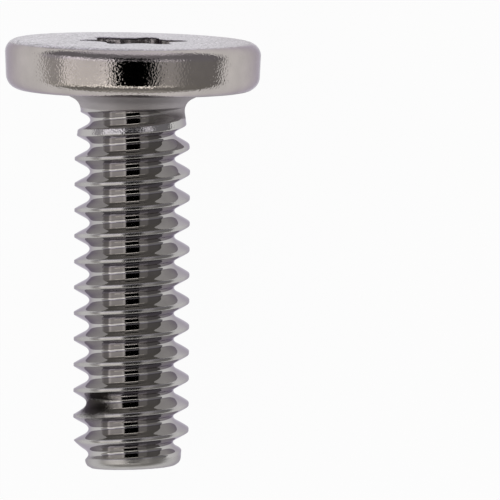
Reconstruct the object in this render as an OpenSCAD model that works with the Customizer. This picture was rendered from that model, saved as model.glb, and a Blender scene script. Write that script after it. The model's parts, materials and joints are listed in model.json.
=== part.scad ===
// Micro screw with a low flat head, a six-lobe recess and a rolled metric thread, in one piece.
// It lies on its side as it comes to rest: the rim of the head and the end of the thread touch
// the surface at z = 0, the drive face looks along +Y and the tip points along -Y.

/* [Head] */
// Diameter over the rim
head_d = 3.47; // [3:0.01:4.5]
// Height from the bearing face to the drive face
head_h = 0.67; // [0.6:0.01:1]
// Radius of the edge round the drive face
face_edge_r = 0.16; // [0.05:0.01:0.2]
// Radius of the edge round the bearing face
seat_edge_r = 0.2; // [0.1:0.01:0.3]
// Draft of the rim towards the bearing face, in degrees
rim_draft = 2.5; // [0:0.5:6]
// Diameter at which the bearing face ends in a shallow cone
under_cone_d = 2.1; // [1.9:0.01:2.4]
// Slope of that cone, in degrees
under_cone = 25; // [10:1:40]
// Radius of the fillet between the cone and the neck
neck_fillet_r = 0.25; // [0.15:0.01:0.3]
// Diameter of the plain neck, which is the blank before the thread was rolled
neck_d = 1.37; // [1.3:0.01:1.5]

/* [Recess] */
// Width across two opposite lobes
recess_a = 1.5; // [1.3:0.01:1.6]
// Width across two opposite flutes
recess_b = 1.07; // [0.95:0.01:1.15]
// Radius at the end of each lobe
lobe_r = 0.14; // [0.1:0.01:0.16]
// Depth of the wall at the end of each lobe
recess_wall = 0.3; // [0.2:0.01:0.35]
// Slope of the conical floor below the drive face's plane, in degrees
floor_slope = 21; // [5:1:25]
// Turn of the lobes round the axis, in degrees
recess_turn = 10; // [0:1:59]

/* [Thread] */
// Diameter over the crests
thread_d = 1.57; // [1.5:0.01:1.6]
// Distance from crest to crest
thread_pitch = 0.35; // [0.3:0.01:0.4]
// Angle between the two flanks of a groove, in degrees
flank_angle = 60; // [55:1:60]
// Depth of the thread as a share of its pitch
depth_share = 0.6134; // [0.55:0.0001:0.62]
// Radius of the rounded crest
crest_r = 0.04; // [0.02:0.005:0.06]
// Depth below the bearing face at which the thread starts
thread_start = 0.22; // [0.15:0.01:0.4]
// Length over which the crest grows
crest_runin = 0.58; // [0.2:0.01:1]
// Length over which the groove deepens
groove_runin = 0.33; // [0.1:0.01:0.6]
// Place of the first crest below the bearing face on the +X side, as a share of the pitch
crest_phase = 0.17; // [0:0.01:0.99]

/* [Tip] */
// Length from the bearing face to the end
shank_len = 5.12; // [3:0.01:12]
// Diameter at which the tapered end would meet the flat
tip_d = 1.28; // [1:0.01:1.4]
// Angle of the taper from the axis, in degrees
tip_taper = 5; // [2:1:20]
// Length of the tapered end
tip_len = 0.24; // [0.15:0.01:0.5]
// Angle from the axis of the shoulder where the thread starts
tip_shoulder = 45; // [30:1:60]
// Radius of the edge round the end
tip_edge_r = 0.11; // [0.02:0.01:0.14]
// Angle by which the cropped end is out of square, in degrees
tip_slant = 1.9; // [0:0.1:5]
// Distance by which the end is off the thread's axis
tip_shift = 0.03; // [0:0.01:0.05]

/* [Hidden] */
$fn = 96;

// How finely the thread and the recess are drawn
steps_per_turn = 40;
steps_per_arc = 8;
// Room by which a cut runs past the surface that it opens
overrun = neck_fillet_r * 0.4;
// Step by which the start of the threaded core hides inside the plain neck
core_inset = crest_r / 4;
// Whole turns of the helix counted above the bearing face
lead_turns = 2;
lobes = 6;

head_r = head_d / 2;
neck_r = neck_d / 2;

// Centre of each edge's arc in the head's half section, as radius and height
face_edge = [head_r - face_edge_r, head_h - face_edge_r];
face_tangent = face_edge + face_edge_r * [cos(rim_draft), -sin(rim_draft)];
rim_r_at_seat_edge = face_tangent[0] - (face_tangent[1] - seat_edge_r) * tan(rim_draft);
seat_edge = [rim_r_at_seat_edge - seat_edge_r / cos(rim_draft), seat_edge_r];
seat_tangent = seat_edge + seat_edge_r * [cos(rim_draft), -sin(rim_draft)];

// Fillet under the head: its arc touches the neck and the cone
cone_r = under_cone_d / 2;
fillet_r = neck_r + neck_fillet_r;
fillet_z = ((fillet_r - cone_r) * sin(under_cone) - neck_fillet_r) / cos(under_cone);
fillet = [fillet_r, fillet_z];
cone_tangent = fillet + neck_fillet_r * [-sin(under_cone), cos(under_cone)];

// Thread form: two arcs, crest and root, that both flanks meet at a tangent
half_flank = flank_angle / 2;
thread_r = thread_d / 2;
thread_depth = depth_share * thread_pitch;
root_r = thread_r - thread_depth;
arcs_r = (thread_pitch / 2 - thread_depth * tan(half_flank)) * cos(half_flank) / (1 - sin(half_flank));
root_arc_r = arcs_r - crest_r;
crest_half = crest_r * cos(half_flank);
crest_drop = crest_r * (1 - sin(half_flank));
root_half = root_arc_r * cos(half_flank);
root_rise = root_arc_r * (1 - sin(half_flank));
// One pitch of the form from root to root, as distance below the crest and radius
thread_form = [
    [-thread_pitch / 2, root_r],
    [-thread_pitch / 2 + root_half, root_r + root_rise],
    [-crest_half, thread_r - crest_drop],
    [0, thread_r],
    [crest_half, thread_r - crest_drop],
    [thread_pitch / 2 - root_half, root_r + root_rise],
];
rows_per_turn = len(thread_form);
// Rows counted from the top of the helix: the first starts inside the neck, the last is past the end
top_turns = lead_turns - crest_phase + 0.5;
first_row = floor(rows_per_turn * (top_turns + thread_start / 2 / thread_pitch));
last_row = ceil(rows_per_turn * (top_turns + 1 + (shank_len + overrun) / thread_pitch));

// Half section of the end: its edge arc touches the flat and the taper, and the shoulder leads to the thread
tip_r = tip_d / 2;
tip_edge = [tip_r - tip_edge_r * tan(45 - tip_taper / 2), tip_edge_r - shank_len];
tip_tangent = tip_edge + tip_edge_r * [cos(tip_taper), -sin(tip_taper)];
tip_top = [tip_r + tip_len * tan(tip_taper), tip_len - shank_len];
tip_full_r = thread_r + overrun;
tip_full_z = tip_top[1] + (tip_full_r - tip_top[0]) / tan(tip_shoulder);

// Recess: each flute's arc touches the arcs of the lobes on both sides of it
lobe_c = recess_a / 2 - lobe_r;
half_lobe = 180 / lobes;
flute_r = (lobe_r * lobe_r - pow(recess_b / 2, 2) - lobe_c * lobe_c + recess_b * lobe_c * cos(half_lobe))
    / (recess_b - 2 * lobe_c * cos(half_lobe) - 2 * lobe_r);
flute_c = recess_b / 2 + flute_r;
flute_half = asin(lobe_c * sin(half_lobe) / (lobe_r + flute_r));
lobe_half = half_lobe + flute_half;
recess_drop = recess_a / 2 * tan(floor_slope);
recess_apex = head_h - recess_wall - recess_drop;

// Rest: the common tangent of the seat edge's arc and the crest where the taper starts
rest_crest = [thread_r - crest_r, tip_full_z - overrun / tan(tip_shoulder)];
rest_span = seat_edge - rest_crest;
rest_turn = atan2(-rest_span[1], rest_span[0]);
rest_tilt = rest_turn + acos((crest_r - seat_edge_r) / norm(rest_span));
rest_lift = seat_edge[0] * cos(rest_tilt) - seat_edge[1] * sin(rest_tilt) + seat_edge_r;
reach_head = face_edge[1] * cos(rest_tilt) + face_edge[0] * sin(rest_tilt) + face_edge_r;
reach_tip = shank_len * cos(rest_tilt) + tip_edge[0] * sin(rest_tilt);

// Share of a run-in's length at a depth below its start
function passed(depth, length) = min(max(depth / length, 0), 1);

// Share of the full depth at a share of the groove's run-in
function eased(t) = t * t * (3 - 2 * t);

// Radius of the blank under the head before the thread was rolled
function blank_r(z) =
    z < fillet_z
        ? neck_r
        : fillet_r - sqrt(pow(neck_fillet_r, 2) - pow(z - fillet_z, 2));

// Point of the threaded surface: rows run down the form, steps run round the axis
function thread_point(row, step) =
    let (
        form = thread_form[row % rows_per_turn],
        turn = floor(row / rows_per_turn),
        z = thread_pitch * (step / steps_per_turn - crest_phase + lead_turns - turn) - form[0],
        plain_r = blank_r(min(z, -thread_start)) - core_inset,
        raised = passed(-z - thread_start, crest_runin),
        sunk = eased(passed(-z - thread_start, groove_runin)),
        r = plain_r + (form[1] > plain_r ? raised : sunk) * (form[1] - plain_r),
        turned = 360 * step / steps_per_turn
    )
    [r * cos(turned), r * sin(turned), z];

// Number of a point in the list: the end of a row is the start of the row one turn above
function thread_id(row, step) =
    step < steps_per_turn
        ? (row - first_row) * steps_per_turn + step
        : thread_id(row - rows_per_turn, 0);

// Triangles between an apex and each pair of neighbours on a closed loop of points
function fan(apex, loop) = [
    for (i = [0:len(loop) - 1])
        [apex, loop[i], loop[(i + 1) % len(loop)]]
];

// Points along an arc, ends included
function arc(centre, r, from, to) = [
    for (i = [0:steps_per_arc])
        let (a = from + (to - from) * i / steps_per_arc)
        centre + r * [cos(a), sin(a)]
];

// Outline of the recess as lobe and flute arcs in turn
function recess_outline() = [
    for (i = [0:lobes - 1])
        let (
            at_lobe = 2 * half_lobe * i,
            at_flute = at_lobe + half_lobe,
            lobe = lobe_c * [cos(at_lobe), sin(at_lobe)],
            flute = flute_c * [cos(at_flute), sin(at_flute)],
            flute_arc = arc(flute, flute_r, at_flute + 180 + flute_half, at_flute + 180 - flute_half)
        )
        each concat(
            arc(lobe, lobe_r, at_lobe - lobe_half, at_lobe + lobe_half),
            [for (j = [1:steps_per_arc - 1]) flute_arc[j]]
        )
];

// Head and the fillet under it, turned about the axis
module head_blank() {
    rotate_extrude() {
        polygon([
            [0, 0],
            [seat_edge[0], 0],
            seat_tangent,
            face_tangent,
            [face_edge[0], head_h],
            [0, head_h],
        ]);
        translate(face_edge)
            circle(face_edge_r);
        translate(seat_edge)
            circle(seat_edge_r);
        difference() {
            polygon([
                [0, overrun],
                [cone_r, overrun],
                [cone_r, 0],
                cone_tangent,
                [blank_r(-thread_start), -thread_start],
                [0, -thread_start],
            ]);
            translate(fillet)
                circle(neck_fillet_r);
        }
    }
}

// Threaded core, from inside the head to past the end
module thread_core() {
    points = [
        for (row = [first_row:last_row], step = [0:steps_per_turn - 1])
            thread_point(row, step)
    ];
    top = len(points);
    bottom = top + 1;
    top_z = thread_point(first_row, steps_per_turn / 2)[2];
    bottom_z = thread_point(last_row, steps_per_turn / 2)[2];
    top_loop = concat(
        [for (row = [0:rows_per_turn - 1]) thread_id(first_row + rows_per_turn - row, steps_per_turn - 1)],
        [for (step = [1:steps_per_turn]) thread_id(first_row, steps_per_turn - step)]
    );
    bottom_loop = concat(
        [for (step = [0:steps_per_turn - 1]) thread_id(last_row, step)],
        [for (row = [0:rows_per_turn - 1]) thread_id(last_row - rows_per_turn + row, 0)]
    );
    skin = [
        for (row = [first_row:last_row - 1], step = [0:steps_per_turn - 1])
            if (step < steps_per_turn - 1 || row >= first_row + rows_per_turn)
                let (
                    a = thread_id(row, step),
                    b = thread_id(row, step + 1),
                    c = thread_id(row + 1, step + 1),
                    d = thread_id(row + 1, step)
                )
                each [[a, b, c], [a, c, d]]
    ];
    polyhedron(
        concat(points, [[0, 0, top_z], [0, 0, bottom_z]]),
        concat(skin, fan(top, top_loop), fan(bottom, bottom_loop))
    );
}

// What is cut away round the tapered, slightly slanted end
module tip_cut() {
    translate([tip_shift, 0, -shank_len])
        rotate([0, -tip_slant, 0])
            translate([0, 0, shank_len])
                rotate_extrude()
                    difference() {
                        translate([0, -shank_len - 3 * thread_pitch])
                            square([tip_full_r, tip_full_z + shank_len + 3 * thread_pitch]);
                        polygon([
                            [0, -shank_len],
                            [tip_edge[0], -shank_len],
                            tip_tangent,
                            tip_top,
                            [tip_full_r, tip_full_z],
                            [0, tip_full_z],
                        ]);
                        translate(tip_edge)
                            circle(tip_edge_r);
                    }
}

// Six-lobe recess with a conical floor
module recess() {
    intersection() {
        translate([0, 0, recess_apex - overrun])
            rotate(recess_turn)
                linear_extrude(head_h - recess_apex + 2 * overrun)
                    polygon(recess_outline());
        rotate_extrude()
            polygon([
                [0, recess_apex],
                [recess_a, recess_apex + 2 * recess_drop],
                [recess_a, head_h + 2 * overrun],
                [0, head_h + 2 * overrun],
            ]);
    }
}

module screw() {
    color("#aeaaa6")
        translate([0, (reach_tip - reach_head) / 2, rest_lift])
            rotate([rest_tilt - 90, 0, 0])
                difference() {
                    union() {
                        head_blank();
                        thread_core();
                    }
                    recess();
                    tip_cut();
                }
}

screw();
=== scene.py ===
"""Looks of a flat head micro screw: one rolled and headed piece of stainless steel, lying at rest."""
import json
import logging
import math
from dataclasses import dataclass, field
from enum import Enum
from typing import Any

import bmesh
import bpy
from bmesh.types import BMesh, BMEdge, BMVert
from mathutils import Matrix, Vector


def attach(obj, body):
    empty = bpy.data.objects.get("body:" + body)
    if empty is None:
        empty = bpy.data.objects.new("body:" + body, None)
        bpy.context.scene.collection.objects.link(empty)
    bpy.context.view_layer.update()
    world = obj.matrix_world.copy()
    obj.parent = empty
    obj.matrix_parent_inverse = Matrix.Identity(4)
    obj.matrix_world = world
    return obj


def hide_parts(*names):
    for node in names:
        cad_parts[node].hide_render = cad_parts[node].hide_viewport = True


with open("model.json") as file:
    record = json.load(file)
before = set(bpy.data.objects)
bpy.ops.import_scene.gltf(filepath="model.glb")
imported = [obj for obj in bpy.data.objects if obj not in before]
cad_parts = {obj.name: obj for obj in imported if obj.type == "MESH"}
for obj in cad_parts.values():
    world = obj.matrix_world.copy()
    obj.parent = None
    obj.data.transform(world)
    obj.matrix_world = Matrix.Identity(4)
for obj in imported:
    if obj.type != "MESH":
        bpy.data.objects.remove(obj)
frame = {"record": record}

MM = 0.001
SCREW_NODE = "screw"
SCREW_BODY = "root"
WELD_MM = 1e-4
CUT_MM = 1e-5
STEP_SLACK = 1e-3
SHARP = math.radians(40)
log = logging.getLogger("micro_screw")


class Mount(Enum):
    """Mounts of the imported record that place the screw."""

    DRIVE = "drive_recess"


def eased(share: float) -> float:
    """Smooth step of a share, held between 0 and 1."""
    held = min(max(share, 0.0), 1.0)
    return held * held * (3 - 2 * held)


def soft_min(first: float, second: float, blend: float) -> float:
    """Smaller of two lengths, with the corner between them rounded off.

    Args:
        first: One length.
        second: Other length.
        blend: Difference under which the two run into each other.

    Returns:
        The smaller length, less a little where they are nearly equal.
    """
    near = max(blend - abs(first - second), 0) / blend
    return min(first, second) - near * near * blend / 4


def linear(colour: str, alpha: float = 1.0) -> tuple[float, float, float, float]:
    """Turn an sRGB hex colour into linear numbers.

    Args:
        colour: Six hex digits after a hash.
        alpha: Opacity to carry along.

    Returns:
        Linear red, green, blue and alpha.
    """
    parts = [int(colour[i:i + 2], 16) / 255 for i in (1, 3, 5)]
    red, green, blue = (c / 12.92 if c <= 0.04045 else ((c + 0.055) / 1.055) ** 2.4 for c in parts)
    return red, green, blue, alpha


def add(
        tree: bpy.types.NodeTree, kind: str, inputs: dict[Any, Any] | None = None,
        **settings: Any) -> bpy.types.Node:
    """Add a node with its settings, and link or set its inputs.

    Args:
        tree: Node tree that gets the node.
        kind: Blender's name of the node type.
        inputs: Socket name or number to a value, or to the output socket that feeds it.
        settings: Properties of the node.

    Returns:
        The new node.
    """
    node = tree.nodes.new(kind)
    for name, value in settings.items():
        setattr(node, name, value)
    for socket, value in (inputs or {}).items():
        if isinstance(value, bpy.types.NodeSocket):
            tree.links.new(value, node.inputs[socket])
        else:
            node.inputs[socket].default_value = value
    return node


def ranged(
        tree: bpy.types.NodeTree, value: Any, span: tuple[float, float],
        onto: tuple[float, float] = (0.0, 1.0)) -> bpy.types.NodeSocket:
    """Map a value from one span onto another, and hold it there.

    Args:
        tree: Node tree that gets the node.
        value: Socket to map.
        span: Values that become the two ends.
        onto: The two ends.

    Returns:
        The mapped value.
    """
    return add(tree, "ShaderNodeMapRange", {
        "Value": value, "From Min": span[0], "From Max": span[1],
        "To Min": onto[0], "To Max": onto[1]}).outputs["Result"]


def worked(
        tree: bpy.types.NodeTree, operation: str, first: Any, second: Any,
        third: Any = 0.0) -> bpy.types.NodeSocket:
    """Work out one number from others.

    Args:
        tree: Node tree that gets the node.
        operation: Blender's name of the sum.
        first: First number or socket.
        second: Second number or socket.
        third: Third number or socket, where the sum has one.

    Returns:
        The result.
    """
    return add(tree, "ShaderNodeMath", {0: first, 1: second, 2: third}, operation=operation).outputs[0]


def blended(tree: bpy.types.NodeTree, share: Any, first: Any, second: Any) -> bpy.types.NodeSocket:
    """Go from one number to another by a share.

    Args:
        tree: Node tree that gets the node.
        share: Share of the second number.
        first: Number or socket at share 0.
        second: Number or socket at share 1.

    Returns:
        The blended number.
    """
    return add(tree, "ShaderNodeMix", {"Factor": share, 2: first, 3: second}).outputs[0]


def tinted(tree: bpy.types.NodeTree, share: Any, first: Any, second: Any) -> bpy.types.NodeSocket:
    """Go from one colour to another by a share.

    Args:
        tree: Node tree that gets the node.
        share: Share of the second colour.
        first: Colour or socket at share 0.
        second: Colour or socket at share 1.

    Returns:
        The blended colour.
    """
    return add(tree, "ShaderNodeMix", {"Factor": share, 6: first, 7: second}, data_type="RGBA").outputs[2]


def arc(
        centre: tuple[float, float], radius: float, start: float, end: float,
        steps: int) -> list[tuple[float, float]]:
    """Points along an arc in a half section, ends included.

    Args:
        centre: Radius and height of the arc's centre.
        radius: Radius of the arc.
        start: First angle in degrees, from the outward direction.
        end: Last angle in degrees.
        steps: Number of equal parts.

    Returns:
        Radius and height of each point.
    """
    angles = (math.radians(start + (end - start) * i / steps) for i in range(steps + 1))
    return [(centre[0] + radius * math.cos(a), centre[1] + radius * math.sin(a)) for a in angles]


def wire(bm: BMesh, section: list[tuple[float, float]]) -> list[BMVert | BMEdge]:
    """Lay a half section as a chain of edges in the XZ plane.

    Args:
        bm: Mesh that gets the chain.
        section: Radius and height of each point.

    Returns:
        The new vertices and edges.
    """
    verts = [bm.verts.new((r, 0, z)) for r, z in section]
    edges = [bm.edges.new(pair) for pair in zip(verts, verts[1:])]
    return [*verts, *edges]


def open_edges(bm: BMesh, low: float, high: float) -> list[BMEdge]:
    """Open border edges whose two ends lie between two heights."""
    return [e for e in bm.edges if e.is_boundary and all(low <= v.co.z <= high for v in e.verts)]


@dataclass(frozen=True)
class Grime:
    """Dark grime that fills a stretch of one groove.

    Its place, size and thickness are in millimetres in the screw's own frame. Its ragged border is in
    shares of the size.
    """

    colour: str = "#2b2621"
    place: tuple[float, float, float] = (-0.47, -0.37, -4.29)
    size: tuple[float, float, float] = (0.26, 0.42, 0.16)
    thickness: float = 0.07
    ragged: float = 0.9
    border: tuple[float, float] = (1.7, 1.1)
    cover: float = 0.93
    roughness: float = 0.5

    def filled(self, co: Vector, depth: float) -> float:
        """How much grime stands on a point.

        Args:
            co: Point on the thread.
            depth: How deep the point lies in the groove, as a share of the thread's depth.

        Returns:
            The thickness, most at the root in the middle of the patch.
        """
        off = Vector([(a - b) / s for a, b, s in zip(co, self.place, self.size)])
        return self.thickness * math.exp(-off.length_squared) * min(max(depth, 0), 1)


@dataclass(frozen=True)
class RolledThread:
    """Right-hand metric thread with rounded crests and roots, in millimetres, below the bearing face.

    The depth and the phase are shares of the pitch. The wave is how far the flanks bend to a cosine.
    """

    crest_d: float = 1.57
    pitch: float = 0.35
    half_flank: float = math.radians(27.2)
    depth_share: float = 0.595
    crest_r: float = 0.013
    crest_flat: float = 0.03
    wave: float = 0.5
    crest_start: float = 0.16
    crest_runin: float = 0.775
    crest_blend: float = 0.02
    groove_start: float = 0.235
    groove_runin: float = 0.065
    lip_start: float = 0.21
    lip_runin: float = 0.035
    phase: float = 0.185
    length: float = 5.12
    tip_d: float = 1.28
    tip_taper: float = math.radians(5)
    tip_len: float = 0.24
    tip_edge_r: float = 0.11
    tip_slant: float = math.radians(1.9)
    tip_shift: float = 0.03
    tip_blend: float = 0.03
    grime: Grime = field(default_factory=Grime)
    steps_per_turn: int = 96
    arc_steps: int = 8
    flank_steps: int = 10
    spare_turns: int = 3

    def form(self) -> list[tuple[float, float]]:
        """One pitch of the thread form.

        Returns:
            Radius and height of each point, from the root below a crest at height 0 to the root above it.
        """
        depth = self.depth_share * self.pitch
        top, root = self.crest_d / 2, self.crest_d / 2 - depth
        spread = 90 - math.degrees(self.half_flank)
        flat = self.crest_flat / 2
        both = (self.pitch / 2 - flat - depth * math.tan(self.half_flank)) * math.cos(self.half_flank)
        root_r = both / (1 - math.sin(self.half_flank)) - self.crest_r
        valley = arc((root + root_r, -self.pitch / 2), root_r, 180, 180 - spread, self.arc_steps)
        crest = arc((top - self.crest_r, -flat), self.crest_r, -spread, 0, self.arc_steps)
        (r0, z0), (r1, z1) = valley[-1], crest[0]
        shares = [i / self.flank_steps for i in range(1, self.flank_steps)]
        flank = [(r0 + (r1 - r0) * s, z0 + (z1 - z0) * s) for s in shares]
        lower = [*valley, *flank, *crest]
        waves = [root + depth * (1 + math.cos(2 * math.pi * z / self.pitch)) / 2 for _, z in lower]
        lower = [(r + (wave - r) * self.wave, z) for (r, z), wave in zip(lower, waves)]
        return lower + [(r, -z) for r, z in reversed(lower)]

    def end_radius(self, height: float) -> float:
        """Largest radius that the end leaves.

        Args:
            height: Distance above the cropped end.

        Returns:
            The radius of the edge's arc, the taper or the shoulder at that height.
        """
        edge = self.tip_edge_r
        centre = self.tip_d / 2 - edge * math.tan(math.pi / 4 - self.tip_taper / 2)
        if height < edge * (1 - math.sin(self.tip_taper)):
            return centre + math.sqrt(max(edge ** 2 - (edge - max(height, 0)) ** 2, 0))
        taper = self.tip_d / 2 + height * math.tan(self.tip_taper)
        return taper + max(height - self.tip_len, 0)

    def shaped(self, co: Vector, head: "LowHead") -> Vector:
        """Move a point of the endless thread to where the blank and the end leave it.

        Args:
            co: Point on the full thread.
            head: Head whose fillet and neck the thread grows out of.

        Returns:
            The point with its radius grown out of the blank and trimmed by the end's taper.
        """
        radius = math.hypot(co.x, co.y)
        plain = head.blank_radius(co.z)
        climbed = co.z - self.pitch * (math.atan2(co.y, co.x) / (2 * math.pi) - self.phase)
        root = co.z - math.remainder(climbed - self.pitch / 2, self.pitch)
        grown = max(-co.z - self.crest_start, 0) / self.crest_runin
        cone = plain + grown * (self.crest_d / 2 + self.crest_blend - plain)
        sunk = eased((-root - self.groove_start) / self.groove_runin)
        sunk *= eased((-co.z - self.lip_start) / self.lip_runin)
        full = cone + (soft_min(radius, cone, self.crest_blend) - cone) * sunk
        full += self.grime.filled(co, (self.crest_d / 2 - full) / (self.depth_share * self.pitch))
        aside, deep = co.x * full / radius - self.tip_shift, co.y * full / radius
        reach = math.hypot(aside, deep)
        limit = self.end_radius(co.z + self.length - aside * math.tan(self.tip_slant))
        kept = soft_min(reach, limit, self.tip_blend) / reach
        return Vector((self.tip_shift + aside * kept, deep * kept, co.z))

    def build(self, bm: BMesh, head: "LowHead") -> None:
        """Sweep the form along its helix, then trim it to the neck and the end.

        Args:
            bm: Mesh that gets the thread, open at the neck.
            head: Head that the thread joins.
        """
        turns = math.ceil(self.length / self.pitch) + self.spare_turns
        low = -self.pitch * (turns - 1 + self.phase)
        bmesh.ops.spin(
            bm, geom=wire(bm, [(r, z + low) for r, z in self.form()]), cent=(0, 0, 0), axis=(0, 0, 1),
            dvec=(0, 0, self.pitch / self.steps_per_turn), angle=2 * math.pi,
            steps=self.steps_per_turn, use_merge=False, use_duplicate=False)
        turn = [*bm.verts, *bm.edges, *bm.faces]
        for number in range(1, turns):
            copy = bmesh.ops.duplicate(bm, geom=turn)["geom"]
            moved = [item for item in copy if isinstance(item, BMVert)]
            bmesh.ops.translate(bm, vec=(0, 0, self.pitch * number), verts=moved)
        bmesh.ops.remove_doubles(bm, verts=bm.verts, dist=WELD_MM)
        for vert in bm.verts:
            vert.co = self.shaped(vert.co, head)
        everything = [*bm.verts, *bm.edges, *bm.faces]
        bmesh.ops.bisect_plane(
            bm, geom=everything, dist=CUT_MM, plane_co=(0, 0, -self.crest_start), plane_no=(0, 0, 1),
            clear_outer=True)
        everything = [*bm.verts, *bm.edges, *bm.faces]
        bmesh.ops.bisect_plane(
            bm, geom=everything, dist=CUT_MM, plane_co=(self.tip_shift, 0, -self.length),
            plane_no=(math.tan(self.tip_slant), 0, -1), clear_outer=True)
        bmesh.ops.edgeloop_fill(bm, edges=open_edges(bm, -2 * self.length, -self.length / 2))
        ring = {v for e in open_edges(bm, -self.length / 2, 0) for v in e.verts}
        step = 2 * math.pi / self.steps_per_turn
        slack = STEP_SLACK * step
        between = [v for v in ring if abs(math.remainder(math.atan2(v.co.y, v.co.x), step)) > slack]
        reach = head.blank_radius(-self.crest_start)
        for vert in ring.difference(between):
            angle = round(math.atan2(vert.co.y, vert.co.x) / step) * step
            vert.co = (reach * math.cos(angle), reach * math.sin(angle), -self.crest_start)
        bmesh.ops.dissolve_verts(bm, verts=between)


@dataclass(frozen=True)
class LowHead:
    """Low round head with a flat drive face, in millimetres, on the bearing face at z = 0.

    The rim's draft is in degrees.
    """

    head_d: float = 3.47
    height: float = 0.67
    face_edge_r: float = 0.175
    seat_edge_r: float = 0.2
    draft: float = 2.5
    fillet_r: float = 0.25
    neck_d: float = 1.37
    cone_d: float = 2.1
    cone_slope: float = math.radians(25)
    lean: float = math.radians(0.3)
    face_lean: float = math.radians(0.45)
    steps: int = 96
    arc_steps: int = 12
    ring: float = 0.02
    under_rings: tuple[float, ...] = (0.15, 0.5, 0.75, 0.85, 0.95, 1.0)

    def leaned(self, co: Vector) -> Vector:
        """Tip a point of the head a little to one side, because it was pressed out of square.

        Args:
            co: Point on the square screw.

        Returns:
            The point, moved along the axis by its place across the head.
        """
        turn = self.lean * eased(1 + co.z / self.fillet_r) + self.face_lean * eased(co.z / self.height)
        return Vector((co.x, co.y, co.z - co.x * math.tan(turn)))

    def fillet(self) -> tuple[float, float]:
        """Centre of the arc that touches the neck and the cone under the head, as radius and height."""
        radius = self.neck_d / 2 + self.fillet_r
        rise = (radius - self.cone_d / 2) * math.sin(self.cone_slope) - self.fillet_r
        return radius, rise / math.cos(self.cone_slope)

    def blank_radius(self, height: float) -> float:
        """Radius of the blank under the head before the thread was rolled.

        Args:
            height: Height, negative below the bearing face.

        Returns:
            The radius on the cone, the fillet or the neck.
        """
        radius, centre = self.fillet()
        above = height - centre
        if above <= 0:
            return self.neck_d / 2
        if above <= self.fillet_r * math.cos(self.cone_slope):
            return radius - math.sqrt(self.fillet_r ** 2 - above ** 2)
        return self.cone_d / 2 + height / math.tan(self.cone_slope)

    def half_section(self, end: float) -> list[tuple[float, float]]:
        """Outline from the drive face over the rim and the bearing face to the neck.

        Args:
            end: Height at which the thread takes over.

        Returns:
            Radius and height of each point.
        """
        lean = math.radians(self.draft)
        face = (self.head_d / 2 - self.face_edge_r, self.height - self.face_edge_r)
        face_line = (face[0] + self.face_edge_r * math.cos(lean), face[1] - self.face_edge_r * math.sin(lean))
        rim = face_line[0] - (face_line[1] - self.seat_edge_r) * math.tan(lean)
        seat = (rim - self.seat_edge_r / math.cos(lean), self.seat_edge_r)
        under = [end * share for share in self.under_rings]
        return [
            (face[0] - self.ring, self.height),
            *arc(face, self.face_edge_r, 90, -self.draft, self.arc_steps),
            *arc(seat, self.seat_edge_r, -self.draft, -90, self.arc_steps),
            (seat[0] - self.ring, 0),
            (self.cone_d / 2 + self.ring, 0),
            (self.cone_d / 2, 0),
            *((self.blank_radius(z), z) for z in under),
        ]

    def build(self, bm: BMesh, end: float) -> None:
        """Turn the half section round the axis, open at the drive face and at the neck.

        Args:
            bm: Mesh that gets the head.
            end: Height at which the thread takes over.
        """
        bmesh.ops.spin(
            bm, geom=wire(bm, self.half_section(end)), cent=(0, 0, 0), axis=(0, 0, 1), angle=2 * math.pi,
            steps=self.steps, use_merge=True, use_duplicate=False)


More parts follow.
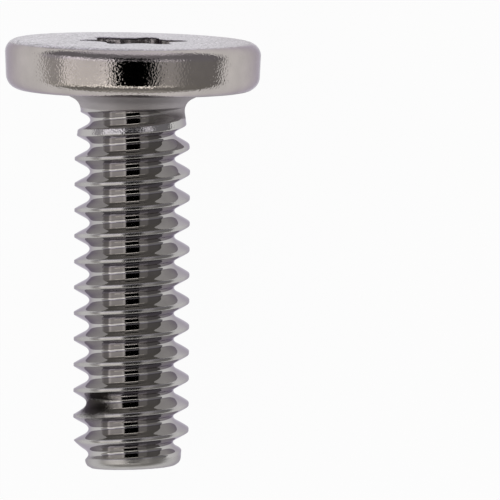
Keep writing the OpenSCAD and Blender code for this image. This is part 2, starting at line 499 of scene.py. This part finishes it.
@dataclass(frozen=True)
class LobeRecess:
    """Six-lobe recess with a conical floor, in millimetres."""

    across_lobes: float = 1.5
    across_flutes: float = 1.07
    lobe_r: float = 0.14
    wall: float = 0.3
    floor_slope: float = math.radians(21)
    turn: float = math.radians(10)
    lip_r: float = 0.012
    floor_edge_r: float = 0.03
    lip_ring: float = 0.03
    lobes: int = 6
    edge_steps: int = 3
    floor_rings: tuple[float, ...] = (0.85, 0.6, 0.25, 0.05)

    def reach(self, angle: float) -> float:
        """Distance of the outline from the axis.

        Args:
            angle: Direction in radians.

        Returns:
            The radius on the lobe's or the flute's arc in that direction.
        """
        half = math.pi / self.lobes
        lobe, inner = self.across_lobes / 2 - self.lobe_r, self.across_flutes / 2
        flute_r = (self.lobe_r ** 2 - inner ** 2 - lobe ** 2 + 2 * inner * lobe * math.cos(half)) / (
            2 * (inner - lobe * math.cos(half) - self.lobe_r))
        flute = inner + flute_r
        touch = math.asin(lobe * math.sin(half) / (self.lobe_r + flute_r))
        meet = (flute - flute_r * math.cos(touch), flute_r * math.sin(touch))
        border = half - math.atan2(meet[1], meet[0])
        off = (angle - self.turn + half) % (2 * half) - half
        if abs(off) <= border:
            return lobe * math.cos(off) + math.sqrt(self.lobe_r ** 2 - (lobe * math.sin(off)) ** 2)
        off = half - abs(off)
        return flute * math.cos(off) - math.sqrt(flute_r ** 2 - (flute * math.sin(off)) ** 2)

    def ring(
            self, bm: BMesh, edges: list[BMEdge], grow: float, share: float, height: float,
            slope: float) -> list[BMEdge]:
        """Extrude a closed ring to a copy of the recess's outline.

        Args:
            bm: Mesh that holds the ring.
            edges: Edges of the open ring.
            grow: How far the copy stands outside the outline.
            share: Size of the copy as a share of the outline.
            height: Height of the copy at the axis.
            slope: Rise of the copy for each unit away from the axis.

        Returns:
            The edges of the new open ring.
        """
        grown = bmesh.ops.extrude_edge_only(bm, edges=edges)["geom"]
        for vert in (item for item in grown if isinstance(item, BMVert)):
            angle = math.atan2(vert.co.y, vert.co.x)
            radius = (self.reach(angle) + grow) * share
            vert.co = Vector((radius * math.cos(angle), radius * math.sin(angle), height + radius * slope))
        return [item for item in grown if isinstance(item, BMEdge) and item.is_boundary]

    def build(self, bm: BMesh, top: float) -> None:
        """Close the open drive face round the recess, and sink its walls and floor.

        Args:
            bm: Mesh with an open loop round the drive face.
            top: Height of the drive face.
        """
        slope = math.tan(self.floor_slope)
        apex = top - self.wall - self.across_lobes / 2 * slope
        rim = open_edges(bm, top - WELD_MM, top + WELD_MM)
        support = self.ring(bm, rim, self.lip_ring, 1, top, 0)
        lip = self.ring(bm, support, 0, 1, top, 0)
        floor_edge = self.ring(bm, lip, 0, 1, apex, slope)
        inner = floor_edge
        for share in self.floor_rings:
            inner = self.ring(bm, inner, 0, share, apex, slope)
        bmesh.ops.pointmerge(bm, verts=list({v for e in inner for v in e.verts}), merge_co=(0, 0, apex))
        for edges, size in ((lip, self.lip_r), (floor_edge, self.floor_edge_r)):
            bmesh.ops.bevel(
                bm, geom=edges, offset=size, offset_type="OFFSET", segments=self.edge_steps,
                profile=0.5, affect="EDGES", material=-1, clamp_overlap=True)


@dataclass(frozen=True)
class Zones:
    """Where each part of the finish lies, as shares from 0 to 1."""

    neck: bpy.types.NodeSocket
    rolled: bpy.types.NodeSocket
    unfilled: bpy.types.NodeSocket
    worn: bpy.types.NodeSocket
    tip: bpy.types.NodeSocket
    face: bpy.types.NodeSocket
    # Painted shade: darkens the recess below the drive face
    recess: bpy.types.NodeSocket
    dirt: bpy.types.NodeSocket


@dataclass(frozen=True)
class SteelFinish:
    """Austenitic stainless steel, cold-headed and thread-rolled, with places in millimetres.

    The heading die leaves a rim with a fine ripple: it is bright, but breaks up into specks where dark
    meets light. The neck stays matt. The rolling dies burnish the thread, which mirrors the tent, with
    fine lines along the helix and duller crests. The drive face keeps the sand grain of its punch and
    reads as pale satin with light and dark grains. The recess is darker than the face round it: painted
    shade in its colour.
    """

    name: str = "rolled_stainless_steel"
    head_colour: str = "#b6b0ac"
    neck_colour: str = "#bfbbbc"
    thread_colour: str = "#b8b6b4"
    face_colour: str = "#c8c4cb"
    # Painted shade: darker colour for the recess
    recess_shade_colour: str = "#86827f"
    edge_tint: str = "#cbc5d2"
    head_roughness: float = 0.07
    neck_roughness: float = 0.62
    thread_roughness: float = 0.05
    crest_roughness: float = 0.22
    tip_roughness: float = 0.34
    face_roughness: float = 0.3
    neck_soft: float = 0.03
    lip_z: float = -0.225
    lip_soft: float = 0.03
    lip_drop: float = 0.15
    lip_drop_x: tuple[float, float] = (0.3, 0.7)
    first_crest_r: tuple[float, float] = (0.71, 0.73)
    first_crest_z: tuple[float, float] = (-0.68, -0.6)
    crest_wear: float = 0.03
    tip_z: float = -4.94
    # Reach and depths of the painted shade in the recess
    recess_shade_reach: float = 0.8
    recess_shade_depth: tuple[float, float] = (0.005, 0.03)
    peel_size: float = 0.027
    peel_detail: float = 1.0
    peel_mix: float = 0.5
    peel_depth: float = 0.0036
    thread_peel: float = 0.05
    line_size: float = 0.02
    line_detail: float = 1.0
    line_turn: float = 1.5
    line_depth: float = 0.00025
    grain_size: float = 0.035
    grain_detail: float = 4.0
    grain_mix: float = 0.7
    grain_depth: float = 0.022
    grain_strength: float = 0.8
    grain_end: float = 0.02
    grain_span: tuple[float, float] = (0.35, 0.65)
    grain_tones: tuple[float, float] = (0.45, 1.5)
    cloud_size: float = 0.3
    cloud_detail: float = 2.0
    cloud_span: tuple[float, float] = (0.3, 0.7)
    cloud_tones: tuple[float, float] = (0.93, 1.05)
    grime: Grime = field(default_factory=Grime)

    def zones(
            self, tree: bpy.types.NodeTree, own: bpy.types.NodeSocket, grain: bpy.types.NodeSocket,
            head: LowHead, thread: RolledThread) -> Zones:
        """Mark where each part of the finish lies.

        Args:
            tree: Node tree of the material.
            own: Place in the screw's own frame.
            grain: Sand grain, which makes borders ragged.
            head: Head with the drive face and the recess.
            thread: Thread with the crests.

        Returns:
            The shares of the zones.
        """
        parts = add(tree, "ShaderNodeSeparateXYZ", {"Vector": own}).outputs
        height = parts["Z"]
        flat = add(tree, "ShaderNodeVectorMath", {0: own, 1: (1, 1, 0)}, operation="MULTIPLY").outputs[0]
        radius = add(tree, "ShaderNodeVectorMath", {0: flat}, operation="LENGTH").outputs["Value"]

        # The lip of the thread drops on the right, where the first groove runs out
        drop = ranged(tree, parts["X"], self.lip_drop_x, (0.0, self.lip_drop))
        above = worked(tree, "ADD", height, drop)
        rolled = ranged(tree, above, (self.lip_z, self.lip_z - self.lip_soft))

        # The first crest, which the dies didn't fill, and the worn tops of all crests
        proud = ranged(tree, radius, self.first_crest_r)
        early = ranged(tree, height, self.first_crest_z)
        crest = thread.crest_d / 2
        top = ranged(tree, radius, (crest - self.crest_wear, crest))

        # The drive face with a ragged border, and the recess, whose colour is darkened as painted shade
        ragged = worked(tree, "MULTIPLY_ADD", grain, self.grain_end, height)
        near, deep = self.recess_shade_depth
        sunken = ranged(tree, height, (head.height - near, head.height - deep))
        inside = worked(tree, "LESS_THAN", radius, self.recess_shade_reach)

        # Grime with a ragged border
        off = add(tree, "ShaderNodeVectorMath", {
            0: own, 1: self.grime.place}, operation="SUBTRACT").outputs[0]
        fit = add(tree, "ShaderNodeVectorMath", {0: off, 1: self.grime.size}, operation="DIVIDE").outputs[0]
        far = add(tree, "ShaderNodeVectorMath", {0: fit}, operation="LENGTH").outputs["Value"]
        blotch = worked(tree, "MULTIPLY_ADD", grain, self.grime.ragged, far)
        return Zones(
            neck=ranged(tree, height, (self.neck_soft, 0.0)),
            rolled=rolled,
            unfilled=worked(tree, "MULTIPLY", proud, early),
            worn=worked(tree, "MULTIPLY", top, rolled),
            tip=ranged(tree, height, (self.tip_z, self.tip_z - self.lip_soft)),
            face=ranged(tree, ragged, (head.height - self.grain_end, head.height)),
            recess=worked(tree, "MULTIPLY", sunken, inside),
            dirt=ranged(tree, blotch, self.grime.border, (0.0, self.grime.cover)))

    def tone(
            self, tree: bpy.types.NodeTree, zones: Zones, grain: bpy.types.NodeSocket,
            own: bpy.types.NodeSocket) -> bpy.types.NodeSocket:
        """Colour of the metal: softly clouded, with light and dark grains on the drive face and painted shade
        in the recess.

        Args:
            tree: Node tree of the material.
            zones: Where each part of the finish lies.
            grain: Sand grain.
            own: Place in the screw's own frame.

        Returns:
            The colour.
        """
        tone: Any = linear(self.head_colour)
        layers = (
            # Painted shade: the recess is darkened
            (zones.recess, self.recess_shade_colour),
            (zones.neck, self.neck_colour),
            (zones.rolled, self.thread_colour),
            (zones.face, self.face_colour),
        )
        for share, colour in layers:
            tone = tinted(tree, share, tone, linear(colour))
        cloud = add(tree, "ShaderNodeTexNoise", {
            "Vector": own, "Scale": 1 / self.cloud_size, "Detail": self.cloud_detail}).outputs["Fac"]
        shade = ranged(tree, cloud, self.cloud_span, self.cloud_tones)
        sandy = ranged(tree, grain, self.grain_span, self.grain_tones)
        shade = worked(tree, "MULTIPLY", shade, blended(tree, zones.face, 1.0, sandy))
        tone = add(tree, "ShaderNodeVectorMath", {0: tone, "Scale": shade}, operation="SCALE").outputs[0]
        return tinted(tree, zones.dirt, tone, linear(self.grime.colour))

    def roughness(self, tree: bpy.types.NodeTree, zones: Zones) -> bpy.types.NodeSocket:
        """Roughness: a bright rim and thread, duller crests and end, a satin face and a matt neck.

        Args:
            tree: Node tree of the material.
            zones: Where each part of the finish lies.

        Returns:
            The roughness.
        """
        rough: Any = self.head_roughness
        layers = (
            (zones.neck, self.neck_roughness),
            (zones.rolled, self.thread_roughness),
            (zones.worn, self.crest_roughness),
            (zones.tip, self.tip_roughness),
            (zones.face, self.face_roughness),
            (zones.dirt, self.grime.roughness),
        )
        for share, level in layers:
            rough = blended(tree, share, rough, level)
        return rough

    def lines(
            self, tree: bpy.types.NodeTree, own: bpy.types.NodeSocket,
            thread: RolledThread) -> bpy.types.NodeSocket:
        """Fine rolling lines that follow the helix, with their seam on the underside.

        Args:
            tree: Node tree of the material.
            own: Place in the screw's own frame.
            thread: Thread that the lines follow.

        Returns:
            The height of the lines.
        """
        parts = add(tree, "ShaderNodeSeparateXYZ", {"Vector": own}).outputs
        behind = worked(tree, "MULTIPLY", parts["Y"], -1.0)
        round_way = worked(tree, "ARCTAN2", parts["X"], behind)
        climbed = worked(tree, "MULTIPLY_ADD", round_way, -thread.pitch / (2 * math.pi), parts["Z"])
        on_form = worked(tree, "FLOORED_MODULO", climbed, thread.pitch)
        along_form = add(tree, "ShaderNodeCombineXYZ", {"X": on_form, "Y": round_way}).outputs[0]
        stretch = add(tree, "ShaderNodeVectorMath", {
            0: along_form, 1: (1 / self.line_size, self.line_turn, 0)}, operation="MULTIPLY").outputs[0]
        return add(tree, "ShaderNodeTexNoise", {
            "Vector": stretch, "Scale": 1.0, "Detail": self.line_detail}).outputs["Fac"]

    def relief(
            self, tree: bpy.types.NodeTree, zones: Zones, grain: bpy.types.NodeSocket,
            own: bpy.types.NodeSocket, thread: RolledThread) -> bpy.types.NodeSocket:
        """Fine relief: ripple on the rim and the first crest, rolling lines, and the face's sand grain.

        Args:
            tree: Node tree of the material.
            zones: Where each part of the finish lies.
            grain: Sand grain.
            own: Place in the screw's own frame.
            thread: Thread that the rolling lines follow.

        Returns:
            The bent normal.
        """
        peel = add(tree, "ShaderNodeTexNoise", {
            "Vector": own, "Scale": 1 / self.peel_size, "Detail": self.peel_detail,
            "Roughness": self.peel_mix}).outputs["Fac"]
        calm = ranged(tree, zones.rolled, (0.0, 1.0), (1.0, self.thread_peel))
        calm = worked(tree, "MAXIMUM", calm, zones.unfilled)
        bumps = (
            (worked(tree, "MULTIPLY", peel, calm), self.peel_depth, 1.0),
            (worked(tree, "MULTIPLY", self.lines(tree, own, thread), zones.rolled), self.line_depth, 1.0),
            (worked(tree, "MULTIPLY", grain, zones.face), self.grain_depth, self.grain_strength),
        )
        inputs: dict[Any, Any] = {}
        for height, depth, strength in bumps:
            inputs.update({"Strength": strength, "Distance": depth * MM, "Height": height})
            inputs["Normal"] = add(tree, "ShaderNodeBump", inputs).outputs["Normal"]
        return inputs["Normal"]

    def material(self, to_screw: Matrix, head: LowHead, thread: RolledThread) -> bpy.types.Material:
        """Make the material.

        Args:
            to_screw: From the row frame to the screw's own frame, in millimetres.
            head: Head whose drive face is grained.
            thread: Thread that is burnished and carries the rolling lines.

        Returns:
            A metal with a rippled rim, a burnished thread, a grained drive face, painted shade in the recess
            and a patch of grime.
        """
        made = bpy.data.materials.new(self.name)
        made.use_nodes = True
        tree = made.node_tree
        tree.nodes.clear()
        where = add(tree, "ShaderNodeTexCoord").outputs["Object"]
        place, turn, size = to_screw.decompose()
        own = add(tree, "ShaderNodeMapping", {
            "Vector": where, "Location": place, "Rotation": turn.to_euler(), "Scale": size}).outputs["Vector"]
        grain = add(tree, "ShaderNodeTexNoise", {
            "Vector": own, "Scale": 1 / self.grain_size, "Detail": self.grain_detail,
            "Roughness": self.grain_mix}).outputs["Fac"]
        zones = self.zones(tree, own, grain, head, thread)
        skin = add(tree, "ShaderNodeBsdfPrincipled", {
            "Base Color": self.tone(tree, zones, grain, own),
            "Metallic": 1.0,
            "Roughness": self.roughness(tree, zones),
            "Normal": self.relief(tree, zones, grain, own, thread),
            "Specular Tint": tinted(tree, zones.face, linear(self.edge_tint), (1, 1, 1, 1))})
        add(tree, "ShaderNodeOutputMaterial", {"Surface": skin.outputs[0]})
        return made


@dataclass
class Screw:
    """The whole screw: head, recess and thread in one mesh."""

    head: LowHead = field(default_factory=LowHead)
    recess: LobeRecess = field(default_factory=LobeRecess)
    thread: RolledThread = field(default_factory=RolledThread)
    finish: SteelFinish = field(default_factory=SteelFinish)

    def to_row(self) -> Matrix:
        """Matrix from the screw's own frame, in millimetres, to the row frame in metres.

        Returns:
            The bearing face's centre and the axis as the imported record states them.
        """
        mount = next(m for m in frame["record"]["mounts"] if m["name"] == Mount.DRIVE.value)
        along = Vector(mount["axis"]).normalized()
        across = Vector((1, 0, 0))
        seat = Vector(mount["pos_m"]) - along * self.head.height * MM
        turn = Matrix((across, along.cross(across), along)).transposed().to_4x4()
        return Matrix.Translation(seat) @ turn @ Matrix.Scale(MM, 4)

    def build(self) -> bpy.types.Object:
        """Model the screw and put it in place of its solid.

        Returns:
            The finished piece.
        """
        bm = bmesh.new()
        self.thread.build(bm, self.head)
        self.head.build(bm, -self.thread.crest_start)
        self.recess.build(bm, self.head.height)
        bmesh.ops.remove_doubles(bm, verts=bm.verts, dist=WELD_MM)
        bmesh.ops.recalc_face_normals(bm, faces=bm.faces)
        for vert in bm.verts:
            vert.co = self.head.leaned(vert.co)
        bmesh.ops.transform(bm, matrix=self.to_row(), verts=bm.verts)
        for item in bm.faces:
            item.smooth = True
        for edge in bm.edges:
            edge.smooth = edge.calc_face_angle(0) < SHARP
        mesh = bpy.data.meshes.new("micro_screw")
        bm.to_mesh(mesh)
        bm.free()
        piece = bpy.data.objects.new("micro_screw", mesh)
        bpy.context.scene.collection.objects.link(piece)
        mesh.materials.append(self.finish.material(self.to_row().inverted(), self.head, self.thread))
        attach(piece, SCREW_BODY)
        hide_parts(SCREW_NODE)
        return piece


@dataclass(frozen=True)
class Panel:
    """A patch of the light tent, in degrees across the screw to the right and along it towards the tip."""

    across: tuple[float, float]
    along: tuple[float, float]
    level: float
    soft: float = 3.0


@dataclass(frozen=True)
class Studio:
    """Pale floor, a light tent with a dark opening above the screw, and the camera.

    The camera's elevation and roll are in degrees, its distance in metres and its sensor in millimetres.
    """

    floor_span: float = 0.6
    floor_colour: str = "#f4f4f4"
    floor_glow: float = 0.96
    elevation: float = 83.85
    roll: float = 0.35
    pixel_mm: float = 0.01355
    frame_px: int = 500
    seat_px: tuple[float, float] = (132.8, 89.8)
    distance: float = 0.3
    sensor: float = 36.0
    clip_ratio: float = 100.0
    head_tint: str = "#f4f0fa"
    tip_tint: str = "#faf6f0"
    tint_blend: float = 0.3
    ceiling: float = 0.26
    panels: tuple[Panel, ...] = (
        # Ends of the tent, past the head and past the tip
        Panel((-180, 180), (-100, -64), 0.95, 24),
        Panel((-180, 180), (58, 100), 0.52, 26),
        # Left side, from the floor up
        Panel((-130, -83), (-24, 32), 0.66),
        Panel((-83, -66), (-24, 32), 0.5),
        Panel((-66, -47), (-24, 27), 1.5, 6),
        Panel((-47, -18), (-24, 27), 0.66, 6),
        # Right side, from the opening down
        Panel((21, 46), (-24, 27), 0.45, 6),
        Panel((46, 80), (-24, 32), 0.27, 8),
        Panel((83, 130), (-24, 32), 0.24, 8),
        # Bright field to the left of the opening, and a dark one beyond its head edge
        Panel((-60, -18), (-10, 27), 1.0, 8),
        Panel((-25, -18), (-10, 27), 1.3),
        Panel((-18, 21), (-34, -13), 0.03),
        # Bright frame round the opening
        Panel((-48, -18), (-13, -10), 2.4),
        Panel((-18, 21), (-12, -10), 0.9),
        Panel((-48, -18), (20, 26), 2.0),
        Panel((21, 44), (-14, -10), 1.3),
        Panel((21, 38), (20, 26), 1.2),
        Panel((-18, 21), (25.5, 31), 3.0),
        # The opening
        Panel((-18, 21), (-10, 26), 0.0),
    )

    def floor(self) -> None:
        """Lay the floor, white to the eye and in reflections, and still taking the shadow."""
        bm = bmesh.new()
        bmesh.ops.create_grid(bm, x_segments=1, y_segments=1, size=self.floor_span / 2)
        mesh = bpy.data.meshes.new("floor")
        bm.to_mesh(mesh)
        bm.free()
        floor = bpy.data.objects.new("floor", mesh)
        bpy.context.scene.collection.objects.link(floor)
        made = bpy.data.materials.new("matt_white_card")
        made.use_nodes = True
        tree = made.node_tree
        tree.nodes.clear()
        light = add(tree, "ShaderNodeLightPath")
        seen = worked(tree, "MAXIMUM", light.outputs["Is Camera Ray"], light.outputs["Is Glossy Ray"])
        seen = worked(tree, "MAXIMUM", seen, light.outputs["Is Transmission Ray"])
        share = worked(tree, "MULTIPLY", seen, self.floor_glow)
        card = add(tree, "ShaderNodeBsdfDiffuse", {"Color": linear(self.floor_colour)}).outputs[0]
        glow = add(tree, "ShaderNodeEmission", {"Color": (1, 1, 1, 1), "Strength": 1.0}).outputs[0]
        both = add(tree, "ShaderNodeMixShader", {0: share, 1: card, 2: glow}).outputs[0]
        add(tree, "ShaderNodeOutputMaterial", {"Surface": both})
        mesh.materials.append(made)

    def tent(self, tilt: float) -> None:
        """Light the screw from a tent with a bright frame round the dark opening for the lens.

        Beside the opening the tent is bright on the left and dim on the right, and each panel covers
        what lies under it.

        Args:
            tilt: Angle of the screw's axis above the floor, which the panels follow.
        """
        world = bpy.data.worlds.new("light_tent")
        bpy.context.scene.world = world
        world.use_nodes = True
        tree = world.node_tree
        tree.nodes.clear()
        way = add(tree, "ShaderNodeTexCoord").outputs["Generated"]
        turned = add(tree, "ShaderNodeMapping", {"Vector": way, "Rotation": (-tilt, 0, 0)}).outputs["Vector"]
        parts = add(tree, "ShaderNodeSeparateXYZ", {"Vector": turned}).outputs
        across = worked(tree, "ARCTAN2", parts["X"], parts["Z"])
        along = worked(tree, "ARCCOSINE", parts["Y"], 0.0)
        angles = add(tree, "ShaderNodeCombineXYZ", {"X": across, "Y": along}).outputs[0]
        degrees = add(tree, "ShaderNodeVectorMath", {
            0: angles, 1: (math.degrees(1), math.degrees(1), 0), 2: (0, -90, 0)},
            operation="MULTIPLY_ADD").outputs[0]
        level: Any = self.ceiling
        for panel in self.panels:
            middle = (sum(panel.across) / 2, sum(panel.along) / 2, 0)
            half = ((panel.across[1] - panel.across[0]) / 2, (panel.along[1] - panel.along[0]) / 2, 1)
            off = add(tree, "ShaderNodeVectorMath", {0: degrees, 1: middle}, operation="SUBTRACT").outputs[0]
            off = add(tree, "ShaderNodeVectorMath", {0: off}, operation="ABSOLUTE").outputs[0]
            out = add(tree, "ShaderNodeVectorMath", {0: off, 1: half}, operation="SUBTRACT").outputs[0]
            sides = add(tree, "ShaderNodeSeparateXYZ", {"Vector": out}).outputs
            past = worked(tree, "MAXIMUM", sides["X"], sides["Y"])
            share = add(tree, "ShaderNodeMapRange", {
                "Value": past, "From Min": panel.soft / 2, "From Max": -panel.soft / 2},
                interpolation_type="SMOOTHSTEP").outputs["Result"]
            level = blended(tree, share, level, panel.level)
        middle_way = math.pi / 2
        head_side = ranged(tree, along, (middle_way + self.tint_blend, middle_way - self.tint_blend))
        tint = tinted(tree, head_side, linear(self.tip_tint), linear(self.head_tint))
        light = add(tree, "ShaderNodeLightPath")
        tent = add(tree, "ShaderNodeBackground", {"Color": tint, "Strength": level}).outputs[0]
        white = add(tree, "ShaderNodeBackground", {"Color": (1, 1, 1, 1), "Strength": 1.0}).outputs[0]
        both = add(tree, "ShaderNodeMixShader", {
            0: light.outputs["Is Camera Ray"], 1: tent, 2: white}).outputs[0]
        add(tree, "ShaderNodeOutputWorld", {"Surface": both})

    def camera(self, seat: Vector) -> None:
        """Look down on the screw as the photograph does.

        Args:
            seat: Centre of the bearing face, which is put at its pixel.
        """
        rise = math.radians(self.elevation)
        back = Vector((0, -math.cos(rise), math.sin(rise)))
        turn = back.to_track_quat("Z", "Y").to_matrix() @ Matrix.Rotation(math.radians(self.roll), 3, "Z")
        middle = self.frame_px / 2
        aside = (self.seat_px[0] - middle) * self.pixel_mm * MM
        above = (middle - self.seat_px[1]) * self.pixel_mm * MM
        target = seat - turn.col[0] * aside - turn.col[1] * above
        data = bpy.data.cameras.new("camera")
        data.sensor_width = self.sensor
        data.lens = self.sensor * self.distance / (self.frame_px * self.pixel_mm * MM)
        data.clip_start = self.distance / self.clip_ratio
        data.clip_end = self.distance * self.clip_ratio
        camera = bpy.data.objects.new("camera", data)
        camera.matrix_world = Matrix.Translation(target + back * self.distance) @ turn.to_4x4()
        bpy.context.scene.collection.objects.link(camera)
        bpy.context.scene.camera = camera


def main() -> None:
    """Build the studio and the screw, and log how many faces the dressed screw has."""
    logging.basicConfig(level=logging.INFO, format="%(name)s: %(message)s")
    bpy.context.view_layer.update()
    bpy.context.scene.view_settings.view_transform = "Standard"
    screw = Screw()
    piece = screw.build()
    log.info("%s: %d faces on %s", piece.name, len(piece.data.polygons), SCREW_BODY)
    studio = Studio()
    studio.floor()
    studio.tent(math.asin(screw.to_row().col[2].normalized().z))
    studio.camera(screw.to_row().to_translation())
    log.info("floor, light tent and camera are set")


if __name__ == "__main__":
    main()
